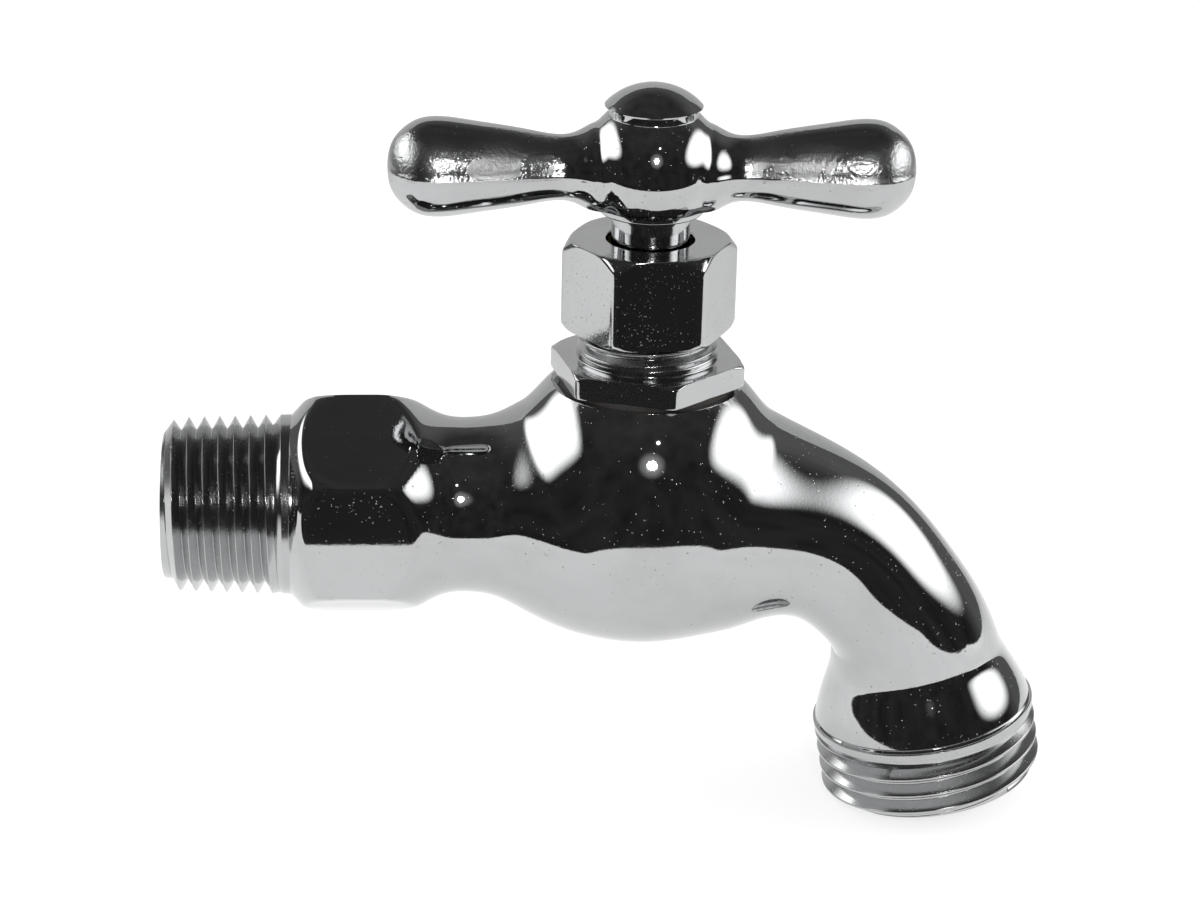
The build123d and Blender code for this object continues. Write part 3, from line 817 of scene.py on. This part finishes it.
@dataclass(frozen=True)
class BonnetGroup:
    """The bonnet with its threaded neck, and the packing nut on it."""

    flats: float = 20.4
    flange_bottom: float = 16.45
    flange_top: float = 19.15
    flange_turn: float = -17.5
    neck_radius: float = 8.3
    neck_top: float = 29.6
    thread_pitch: float = 25.4 / 18
    thread_depth: float = 0.85
    nut_flats: float = 17.9
    nut_turn: float = -56.5
    nut_bottom: float = 22.7
    nut_top: float = 33.5
    nut_hole: float = 5.15
    steps: int = 192

    def bonnet(self) -> bmesh.types.BMesh:
        """The flange, the spigot below it and the plain core of its neck."""
        corner = self.flats / math.sqrt(3)
        core = self.neck_radius - self.thread_depth - 0.1
        outline = rounded((
            (5.65, 11.95), (9.2, 11.95, 0.4), (9.2, self.flange_bottom), (corner, self.flange_bottom, 0.2),
            (corner, self.flange_top - 0.4, 0.2), (corner - 0.8, self.flange_top, 0.15),
            (self.neck_radius, self.flange_top + 0.05, 0.2), (self.neck_radius, self.flange_top + 0.75, 0.1),
            (core, self.flange_top + 0.9), (core, self.neck_top), (5.95, self.neck_top), (5.95, 23.7),
            (4.6, 23.7), (4.6, 22.3), (5.65, 22.3), (5.65, 11.95)), 0.12, 3)
        bm = bmesh.new()
        add_spin(bm, divided(outline, 0.5), self.steps)
        side = math.radians(30 + self.flange_turn)

        def flats(size: float, angle: float, place: float) -> float:
            """Take the six flats off the flange."""
            if not self.flange_bottom - 0.1 < place < self.flange_top + 0.04 or size < self.neck_radius + 0.3:
                return size
            return soft_min(size, polygon_radius(self.flats / 2, 6, angle - side), 0.22)

        reshape(bm, flats)
        return bm

    def neck_thread(self) -> bmesh.types.BMesh:
        """The thread on the neck that the nut runs on."""
        start = self.flange_top + 0.7
        inner = self.neck_radius - self.thread_depth - 0.2

        def shape(size: float, angle: float, place: float) -> float:
            """Run-out at the flange and chamfer at the top."""
            floor = self.neck_radius - self.thread_depth * ease(start, start + 0.8, place)
            return min(max(size, floor), self.neck_radius - (place - self.neck_top + 0.6))

        bm = screw_rod(
            self.neck_radius - 0.01, self.thread_depth, self.thread_pitch, start, self.neck_top,
            start + 0.3, shape, 96, 0.2)
        outer = self.neck_radius - self.thread_depth - 0.15
        add_spin(bm, [(outer, start), (inner, start), (inner, self.neck_top), (outer, self.neck_top)], 96)
        join_rims(bm, start)
        join_rims(bm, self.neck_top)
        return bm

    def nut(self) -> bmesh.types.BMesh:
        """The tall six-sided nut."""
        corner = self.nut_flats / math.sqrt(3)
        outline = rounded((
            (8.35, self.nut_bottom), (9.8, self.nut_bottom, 0.25), (corner, self.nut_bottom + 0.6, 0.25),
            (corner, self.nut_top - 1.4, 0.35), (9.25, self.nut_top, 0.3), (self.nut_hole, self.nut_top, 0.25),
            (self.nut_hole, 30.5), (8.35, 30.5), (8.35, self.nut_bottom)), 0.1, 4)
        bm = bmesh.new()
        add_spin(bm, divided(outline, 0.3), self.steps)
        side = math.radians(30 + self.nut_turn)

        def flats(size: float, angle: float, place: float) -> float:
            """Take the six flats off the nut."""
            if size < 8.4:
                return size
            return soft_min(size, polygon_radius(self.nut_flats / 2, 6, angle - side), 0.3)

        reshape(bm, flats)
        return bm

    def build(self, bonnet_chrome: bpy.types.Material, nut_chrome: bpy.types.Material,
              thread_chrome: bpy.types.Material) -> None:
        """Make the bonnet, its thread and the nut."""
        axis = Placing((STEM_X, 0, 0))
        finish_piece(self.bonnet(), "bonnet_cover", Body.CASTING, bonnet_chrome, ("bonnet",), axis)
        finish_piece(self.neck_thread(), "bonnet_neck_thread", Body.CASTING, thread_chrome, (), axis)
        finish_piece(self.nut(), "packing_nut_hex", Body.CASTING, nut_chrome, ("packing_nut",), axis)


# Stem


@dataclass(frozen=True)
class Spindle:
    """The stem with its washer cup, operating thread, shank and square end."""

    radius: float = 4.55
    shoulder: float = 36.85
    square: float = 5.8
    square_top: float = 44.05
    cup_radius: float = 6.7
    thread_radius: float = 5.6
    thread_depth: float = 0.95
    thread_start: float = 7.1
    thread_end: float = 16.0
    lead: float = 25.4 / 8

    def shank(self) -> bmesh.types.BMesh:
        """Everything but the thread, closed all round."""
        corner = self.square / math.sqrt(2)
        core = self.thread_radius - self.thread_depth - 0.15
        outline = rounded((
            (0.0, 12.7), (1.95, 12.6), (1.95, 4.3), (5.85, 4.3), (5.85, 3.1), (self.cup_radius, 3.1, 0.15),
            (self.cup_radius, 6.1, 0.2), (core, 6.1), (core, self.thread_end), (self.radius, self.thread_end + 0.1),
            (self.radius, self.shoulder, 0.25), (corner, self.shoulder + 0.02), (corner, self.square_top - 0.5, 0.1),
            (corner - 0.6, self.square_top, 0.1), (0.0, self.square_top)), 0.08, 3)
        bm = bmesh.new()
        add_spin(bm, divided(outline, 0.6), 128)

        def square_end(size: float, angle: float, place: float) -> float:
            """Square the end above the shoulder."""
            if place < self.shoulder + 0.01:
                return size
            return soft_min(size, polygon_radius(self.square / 2, 4, angle), 0.12)

        reshape(bm, square_end)
        return bm

    def thread(self) -> bmesh.types.BMesh:
        """The operating thread."""
        inner = self.thread_radius - self.thread_depth - 0.1

        def shape(size: float, angle: float, place: float) -> float:
            """Chamfer both ends."""
            return min(size, self.thread_radius - (place - self.thread_end + 0.5),
                       self.thread_radius - (self.thread_start + 0.5 - place))

        bm = screw_rod(self.thread_radius, self.thread_depth, self.lead, self.thread_start, self.thread_end,
                       self.thread_start + self.lead / 2, shape, 72)
        outer = self.thread_radius - self.thread_depth - 0.06
        low, high = self.thread_start, self.thread_end
        add_spin(bm, [(outer, low), (inner, low), (inner, high), (outer, high)], 72)
        join_rims(bm, low)
        join_rims(bm, high)
        return bm

    def build(self, chrome: bpy.types.Material) -> None:
        """Make the stem's two pieces."""
        axis = Placing((STEM_X, 0, 0))
        finish_piece(self.shank(), "stem_shank", Body.SPINDLE, chrome, ("stem",), axis)
        finish_piece(self.thread(), "stem_thread", Body.SPINDLE, chrome, (), axis)


# Loose key


@dataclass(frozen=True)
class LooseKey:
    """The tee key: a round hub between two waisted arms, with a domed cap and a square socket."""

    bottom: float = 36.9
    arm_height: float = 41.95
    hub_height: float = 42.5
    hub_radius: float = 7.9
    top_cut: float = 48.35
    foot_top: float = 37.6
    foot_radius: float = 6.1
    socket: float = 2.96
    socket_top: float = 45.3
    dome_radius: float = 5.65
    dome_round: float = 7.75
    dome_top: float = 51.88
    ridge: float = 0.13
    ridge_width: float = 0.3
    draft: float = 0.05
    draft_reach: float = 0.35
    steps: int = 160

    # (reach, radius) of an arm from the hub's middle to its tip
    ARM = (
        (0.0, 5.3), (6.9, 5.1), (9.2, 3.98), (11.6, 3.84), (14.1, 4.27), (16.4, 4.67), (21.0, 5.35),
        (24.6, 5.75), (26.9, 5.42), (28.5, 4.45), (29.8, 2.9), (30.38, 0.0))

    def arm_outline(self) -> Outline:
        """The outline of both arms, from tip to tip."""
        place = [0.0]
        for one, two in zip(self.ARM, self.ARM[1:]):
            place.append(place[-1] + math.dist(one, two))
        reach = SmoothLine([(at, stop[0]) for at, stop in zip(place, self.ARM)], (1.0, 0.0))
        radius = SmoothLine([(at, stop[1]) for at, stop in zip(place, self.ARM)], (0.0, -1.0))
        half = [(max(radius(at), 0.0), reach(at)) for at in np.linspace(0.0, place[-1], 110)]
        return [(size, -at) for size, at in reversed(half[1:])] + half

    def casting(self) -> bmesh.types.BMesh:
        """Hub, arms, cap and socket as one shell."""
        bm = bmesh.new()
        add_spin(bm, self.arm_outline(), self.steps)
        rise = self.hub_height - self.arm_height

        def hub(size: float, angle: float, place: float) -> float:
            """Swell the middle into the round hub, and widen both halves towards the parting ridge."""
            line = size * abs(math.cos(angle)) / self.ridge_width
            result = size + self.ridge * math.exp(-line * line) * ease(0.5, 3.0, size)
            slice_squared = self.hub_radius ** 2 - place ** 2
            swing = (rise * math.sin(angle)) ** 2
            if slice_squared > swing:
                ball = rise * math.cos(angle) + math.sqrt(slice_squared - swing)
                result = soft_max(result, ball, 0.5)
            return result * (1 + self.draft * math.exp(-abs(abs(angle) - math.pi / 2) / self.draft_reach))

        reshape(bm, hub)
        turn = Placing((0, 0, self.arm_height), (0, 0, 1), (1, 0, 0)).matrix()
        bmesh.ops.transform(bm, matrix=Matrix.Scale(1 / MM, 4) @ turn, verts=bm.verts)
        cut(bm, self.top_cut, keep_below=True)
        dome = [
            (self.dome_round * math.sin(a), self.dome_top - self.dome_round * (1 - math.cos(a)))
            for a in np.linspace(math.asin(self.dome_radius / self.dome_round), 0.0, 18)]
        add_spin(bm, rounded((
            (5.22, self.top_cut), (5.2, 48.6), (5.2, 49.25), (5.62, 49.3)), 0.12, 3) + dome, self.steps)
        join_rims(bm, self.top_cut)
        cut(bm, self.foot_top, keep_below=False, reach=11.4)
        edge = self.socket * math.sqrt(2)
        foot = bmesh.new()
        add_spin(foot, divided(rounded((
            (self.foot_radius, self.foot_top), (self.foot_radius, self.bottom, 0.2),
            (edge + 0.25, self.bottom, 0.1), (edge, self.bottom + 0.3), (edge, self.socket_top),
            (0.0, self.socket_top)), 0.1, 3), 0.6), self.steps)
        reshape(foot, lambda size, angle, place: size if size > edge + 0.3 else min(
            size, polygon_radius(self.socket, 4, angle) + max(0.0, self.bottom + 0.3 - place)))
        joined = bpy.data.meshes.new("foot")
        foot.to_mesh(joined)
        foot.free()
        bm.from_mesh(joined)
        bpy.data.meshes.remove(joined)
        join_rims(bm, self.foot_top)
        return bm

    def build(self, chrome: bpy.types.Material) -> None:
        """Make the key."""
        finish_piece(self.casting(), "tee_key_casting", Body.KEY, chrome, ("tee_key",),
                     Placing((STEM_X, 0, 0)))


# Studio


def stage_piece(bm: bmesh.types.BMesh, name: str, material: bpy.types.Material,
                matrix: Matrix = Matrix()) -> bpy.types.Object:
    """Turn a mesh into a stage piece, which is no part of the tap.

    Args:
        bm: the mesh, which is used up.
        name: the piece's name.
        material: its material.
        matrix: its place.

    Returns:
        The stage piece.
    """
    mesh = bpy.data.meshes.new(name)
    for face in bm.faces:
        face.smooth = True
    bm.to_mesh(mesh)
    bm.free()
    mesh.materials.append(material)
    piece = bpy.data.objects.new(name, mesh)
    piece.matrix_world = matrix
    bpy.context.scene.collection.objects.link(piece)
    return piece


def glow_material(name: str, level: Signal | float, graph: Graph, material: bpy.types.Material,
                  clear: bool = False) -> bpy.types.Material:
    """Finish a material that only glows, with its level in its colour, and lets what is behind it through if clear."""
    colour = graph.node(
        "ShaderNodeMix", {"data_type": "RGBA", "clamp_factor": False},
        {0: level, 6: (0, 0, 0, 1), 7: (1, 1, 1, 1)}).outputs[2]
    glow = graph.node("ShaderNodeEmission", None, {"Color": colour})
    if clear:
        glass = graph.node("ShaderNodeBsdfTransparent")
        glow = graph.node("ShaderNodeAddShader", None, {0: glow.outputs[0], 1: glass.outputs[0]})
    graph.node("ShaderNodeOutputMaterial", None, {"Surface": glow.outputs[0]})
    material.name = name
    return material


@dataclass(frozen=True)
class Softbox:
    """A glowing oval with soft edges, seen from the tap at an azimuth and elevation in degrees."""

    name: str
    azimuth: float
    elevation: float
    half_width: float
    half_height: float
    level: float
    distance: float = 0.55
    soft_from: float = 0.6
    aim: tuple[float, float, float] = (0.045, 0.0, 0.010)

    def build(self) -> None:
        """Place the softbox."""
        azimuth, elevation = math.radians(self.azimuth), math.radians(self.elevation)
        way = Vector((
            math.sin(azimuth) * math.cos(elevation), -math.cos(azimuth) * math.cos(elevation),
            math.sin(elevation)))
        material, graph = new_material(self.name)
        place = graph.node("ShaderNodeTexCoord").outputs["Object"]
        part = graph.node("ShaderNodeSeparateXYZ", None, {"Vector": place}).outputs
        across, upward = Signal(graph, part["X"]), Signal(graph, part["Y"])
        edge = across * across + upward * upward
        level = graph.signal("ShaderNodeMapRange", "Result", {"interpolation_type": "SMOOTHSTEP"}, {
            "Value": edge, "From Min": 1.0, "From Max": self.soft_from, "To Min": 0.0, "To Max": self.level})
        glow_material(self.name, level, graph, material, clear=True)
        bm = bmesh.new()
        bmesh.ops.create_grid(bm, x_segments=1, y_segments=1, size=1.0)
        size = Matrix.Diagonal((
            self.distance * math.tan(math.radians(self.half_width)),
            self.distance * math.tan(math.radians(self.half_height)), 1, 1))
        turn = (-way).to_track_quat("-Z", "Y").to_matrix().to_4x4()
        card = stage_piece(
            bm, self.name, material, Matrix.Translation(Vector(self.aim) + way * self.distance) @ turn @ size)
        card.visible_camera = False
        card.visible_shadow = False


@dataclass(frozen=True)
class Studio:
    """A pale table with a low backdrop, in a dark room with two side boxes and small front lamps."""

    floor_height: float = -0.0381
    floor_front: float = -0.100
    floor_back: float = 0.62
    floor_half: float = 0.46
    backdrop_top: float = 0.46
    backdrop_bend: float = 0.16
    floor_glow: float = 0.68
    far_glow: float = 0.22
    room_radius: float = 1.6
    room_level: float = 0.035
    wall_level: float = 0.11

    def background_seen(self, graph: Graph) -> Signal:
        """1 for rays that show the background: from the camera, off gloss or through glass."""
        ray = graph.node("ShaderNodeLightPath").outputs
        return (Signal(graph, ray["Is Camera Ray"]) + Signal(graph, ray["Is Glossy Ray"])
                + Signal(graph, ray["Is Transmission Ray"])).at_most(1.0)

    def floor_material(self) -> bpy.types.Material:
        """White to the camera, and shaded enough to keep the shadow; in reflections its glow is painted light, dimmer
        towards the back and mottled.
        """
        material, graph = new_material("pale_table")
        ray = graph.node("ShaderNodeLightPath").outputs
        seen = self.background_seen(graph)
        place = graph.node("ShaderNodeTexCoord").outputs["Object"]
        back = Signal(graph, graph.node("ShaderNodeSeparateXYZ", None, {"Vector": place}).outputs["Y"])
        # Painted light: in reflections the floor glows brightest near the tap and fades towards the back.
        far = graph.signal("ShaderNodeMapRange", "Result", {"interpolation_type": "SMOOTHSTEP"}, {
            "Value": back, "From Min": 0.02, "From Max": 0.28, "To Min": self.floor_glow, "To Max": self.far_glow})
        # Painted light: the floor's glow in reflections is mottled by noise.
        far = far * (0.75 + 0.4 * graph.noise(place, 14.0, 2.0))
        camera = Signal(graph, ray["Is Camera Ray"])
        level = seen * (camera * self.floor_glow + (1 - camera) * far)
        colour = graph.node(
            "ShaderNodeMix", {"data_type": "RGBA"}, {0: level, 6: (0, 0, 0, 1), 7: (1, 1, 1, 1)}).outputs[2]
        matt = graph.node("ShaderNodeBsdfDiffuse", None, {"Color": (0.42, 0.42, 0.42, 1)})
        glow = graph.node("ShaderNodeEmission", None, {"Color": colour})
        both = graph.node("ShaderNodeAddShader", None, {0: matt.outputs[0], 1: glow.outputs[0]})
        graph.node("ShaderNodeOutputMaterial", None, {"Surface": both.outputs[0]})
        return material

    def room_material(self) -> bpy.types.Material:
        """The glow of the dark room seen in reflections, all painted light: a dim cloth level mottled by painted fold
        shade, lighter overhead, with a painted grey glow of the wall above the backdrop.
        """
        material, graph = new_material("dark_room_cloth_glow")
        place = graph.node("ShaderNodeTexCoord").outputs["Object"]
        # Painted shade: noise that mottles the room's glow like folds of cloth.
        painted_fold_shade = graph.noise(place, 3.0, 3.0)
        up = Signal(graph, graph.node("ShaderNodeSeparateXYZ", None, {"Vector": place}).outputs["Z"])
        # Painted light: the room's glow grows lighter overhead.
        overhead = graph.signal("ShaderNodeMapRange", "Result", {"interpolation_type": "SMOOTHSTEP"}, {
            "Value": up, "From Min": 0.3 * self.room_radius, "From Max": self.room_radius, "To Min": 0.0,
            "To Max": 0.5})
        back = Signal(graph, graph.node("ShaderNodeSeparateXYZ", None, {"Vector": place}).outputs["Y"])
        # Painted light: a grey glow of the wall behind the tap and above the backdrop.
        behind = graph.signal("ShaderNodeMapRange", "Result", {"interpolation_type": "SMOOTHSTEP"}, {
            "Value": back, "From Min": 0.0, "From Max": 0.4 * self.room_radius, "To Min": 0.0, "To Max": 1.0})
        above = graph.signal("ShaderNodeMapRange", "Result", {"interpolation_type": "SMOOTHSTEP"}, {
            "Value": up, "From Min": 0.5 * self.room_radius, "From Max": 0.93 * self.room_radius,
            "To Min": self.wall_level, "To Max": 0.0})
        return glow_material(
            "dark_room_cloth_glow", self.room_level * (0.1 + 1.4 * painted_fold_shade + overhead) + behind * above, graph, material)

    def table(self) -> None:
        """The table top, swept up at the back."""
        bm = bmesh.new()
        sweep = [(self.floor_front, self.floor_height)]
        turn_y, turn_z = self.floor_back - self.backdrop_bend, self.floor_height + self.backdrop_bend
        sweep += [
            (turn_y + self.backdrop_bend * math.sin(a), turn_z - self.backdrop_bend * math.cos(a))
            for a in np.linspace(0, math.pi / 2, 10)]
        sweep.append((self.floor_back, self.backdrop_top))
        points = [bm.verts.new((STEM_X * MM - self.floor_half, y, z)) for y, z in sweep]
        lines = [bm.edges.new(pair) for pair in zip(points, points[1:])]
        side = bmesh.ops.extrude_edge_only(bm, edges=lines)["geom"]
        bmesh.ops.translate(
            bm, vec=(2 * self.floor_half, 0, 0), verts=[item for item in side if isinstance(item, bmesh.types.BMVert)])
        bmesh.ops.recalc_face_normals(bm, faces=bm.faces)
        stage_piece(bm, "pale_table", self.floor_material())

    def room(self) -> None:
        """The dark room, which only gloss shows."""
        bm = bmesh.new()
        bmesh.ops.create_uvsphere(bm, u_segments=48, v_segments=24, radius=self.room_radius)
        bmesh.ops.reverse_faces(bm, faces=bm.faces)
        room = stage_piece(bm, "dark_room", self.room_material())
        room.visible_camera = False
        room.visible_diffuse = False
        room.visible_shadow = False
        room.visible_transmission = False

    def air(self) -> None:
        """The plain light all round, white behind everything."""
        world = bpy.data.worlds.new("studio_air")
        world.use_nodes = True
        bpy.context.scene.world = world
        graph = Graph(world.node_tree)
        colour = graph.node("ShaderNodeMix", {"data_type": "RGBA"}, {
            0: self.background_seen(graph), 6: (0.8, 0.8, 0.8, 1), 7: (1, 1, 1, 1)}).outputs[2]
        air = graph.node("ShaderNodeBackground", None, {"Color": colour})
        graph.node("ShaderNodeOutputWorld", None, {"Surface": air.outputs[0]})

    def build(self) -> None:
        """Make the table, the room, the lamps and the world."""
        self.table()
        self.room()
        Softbox("left_box", -102, 27, 37, 17, 2.6, soft_from=0.2).build()
        Softbox("right_box", 91, 22, 35, 19, 2.6, soft_from=0.2).build()
        Softbox("front_lamp", 3, 28, 4.0, 4.0, 60.0, soft_from=0.1).build()
        Softbox("lamp_halo", 3, 28, 12.0, 12.0, 0.35, distance=0.56, soft_from=0.0).build()
        Softbox("upper_lamp", 11, 46, 1.6, 1.6, 12.0, soft_from=0.2).build()
        self.air()


@dataclass(frozen=True)
class PhotoCamera:
    """The camera at the photograph's place, in metres from the pipe axis under the stem."""

    place: tuple[float, float, float] = (-0.0261587, -0.3740865, 0.158)
    yaw: float = -3.193
    pitch: float = 21.954
    roll: float = 1.3
    lens: float = 36 * 3407 / 1200

    def build(self) -> None:
        """Make the camera and choose it."""
        yaw, pitch, roll = (math.radians(value) for value in (self.yaw, self.pitch, self.roll))
        ahead = Vector((-math.sin(yaw) * math.cos(pitch), math.cos(yaw) * math.cos(pitch), -math.sin(pitch)))
        right = Vector((math.cos(yaw), math.sin(yaw), 0))
        up = right.cross(ahead)
        rolled_right = right * math.cos(roll) + up * math.sin(roll)
        rolled_up = up * math.cos(roll) - right * math.sin(roll)
        lens = bpy.data.cameras.new("photo_camera")
        lens.lens = self.lens
        lens.sensor_width = 36
        lens.clip_start = 0.01
        camera = bpy.data.objects.new("photo_camera", lens)
        bpy.context.scene.collection.objects.link(camera)
        turn = Matrix((rolled_right, rolled_up, -ahead)).transposed().to_4x4()
        camera.matrix_world = Matrix.Translation(Vector(self.place) + Vector((STEM_X * MM, 0, 0))) @ turn
        bpy.context.scene.camera = camera


# Putting it together


def dress_node(frame: Mapping[str, object], node: str, material: bpy.types.Material) -> None:
    """Give a CAD node that is kept as it is its material.

    Args:
        node: the node's name.
        material: its new material.
    """
    piece = frame["nodes"][node]
    piece.data.materials.clear()
    piece.data.materials.append(material)
    LOG.info("%s: CAD node, %d faces", node, len(piece.data.polygons))


def main() -> None:
    """Build the tap around its frame."""
    logging.basicConfig(level=logging.INFO, format="%(message)s")
    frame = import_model()
    bpy.context.scene.view_settings.view_transform = "Standard"
    PhotoCamera().build()
    Studio().build()
    cast = ChromeFinish("cast_chrome").build()
    turned = ChromeFinish("turned_chrome", waves=0.008, grain=0.0030, pits=0.006, roughness=0.08).build()
    worn = ChromeFinish("worn_thread_chrome", waves=0.006, grain=0.006, pits=0.006, roughness=0.17, haze=0.10).build()
    nut = ChromeFinish(
        "nut_chrome", waves=0.012, grain=0.0044, pits=0.005, speck_scale=3600.0, speck_start=0.69,
        roughness=0.07).build()
    grainy = ChromeFinish("key_chrome", waves=0.016, grain=0.0026, flank=(0.0405, 0.0475, 0.0090)).build()
    brass = BrassFinish("bare_brass").build()
    BodyCasting().build(cast, worn)
    BonnetGroup().build(turned, nut, worn)
    Spindle().build(turned)
    LooseKey().build(grainy)
    for node in ("packing_gland", "packing_washer", "seat_washer_screw"):
        dress_node(frame, node, brass)
    # Dark fibre, tinted darker still as painted shade, so that the gap between flange and boss reads as a shadow line.
    dress_node(frame, "bonnet_gasket", SoftFinish(
        "gasket_fibre", (0.060, 0.055, 0.050, 1), (0.025, 0.022, 0.020, 1)).build())
    dress_node(frame, "stem_packing", SoftFinish(
        "packing_cord", (0.16, 0.16, 0.15, 1), (0.05, 0.05, 0.05, 1), 0.7).build())
    dress_node(frame, "seat_washer", SoftFinish(
        "washer_rubber", (0.05, 0.05, 0.05, 1), (0.02, 0.02, 0.02, 1), 0.65).build())


if __name__ == "__main__":
    main()
